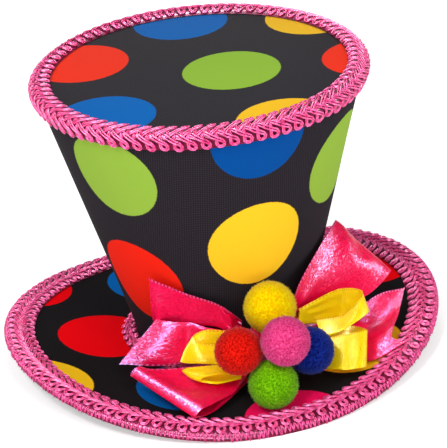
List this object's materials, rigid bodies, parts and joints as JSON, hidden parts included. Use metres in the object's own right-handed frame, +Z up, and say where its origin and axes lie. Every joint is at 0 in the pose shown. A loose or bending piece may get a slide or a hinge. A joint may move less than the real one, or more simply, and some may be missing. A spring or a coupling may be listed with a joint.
{
  "type": "mini top hat",
  "caption": "Small tapered top hat of spotted black cloth with a curled brim, pink gimp braid edges, a bow of satin ribbon and a cluster of pompoms.",
  "frame": {"origin": "centre of the hat on the surface that it stands on", "axes": "+Z up through the crown, -Y toward the bow, +X toward the wearer's left as seen from the front"},
  "size_m": [0.15, 0.15, 0.1013],
  "materials": {
    "spotted_cloth": "matte black printed cloth with large round spots in green, blue, red and yellow",
    "pink_braid": "lustrous twisted cord gimp braid",
    "pink_satin": "satin ribbon",
    "yellow_satin": "satin ribbon",
    "yellow_fluff": "clipped pile",
    "pink_fluff": "clipped pile",
    "red_fluff": "clipped pile",
    "blue_fluff": "clipped pile",
    "green_fluff": "clipped pile",
    "steel": "plain bent sheet"
  },
  "bodies": {
    "root": {"crown_side": "spotted_cloth", "crown_top": "spotted_cloth", "brim": "spotted_cloth", "brim_braid": "pink_braid", "crown_braid": "pink_braid", "foot_braid": "pink_braid", "bow_knot": "pink_satin", "ribbon_tail_upper_left": "pink_satin", "ribbon_tail_left": "pink_satin", "ribbon_loop_lower_left": "pink_satin", "ribbon_loop_upper_right": "pink_satin", "ribbon_tail_lower_right": "pink_satin", "yellow_loop_upper_left": "yellow_satin", "yellow_loop_lower_left": "yellow_satin", "yellow_loop_upper_right": "yellow_satin", "yellow_loop_lower_right": "yellow_satin", "pompom_yellow": "yellow_fluff", "pompom_pink": "pink_fluff", "pompom_red": "red_fluff", "pompom_blue": "blue_fluff", "pompom_green": "green_fluff", "clip_left": "steel", "clip_right": "steel"}
  },
  "joints": []
}
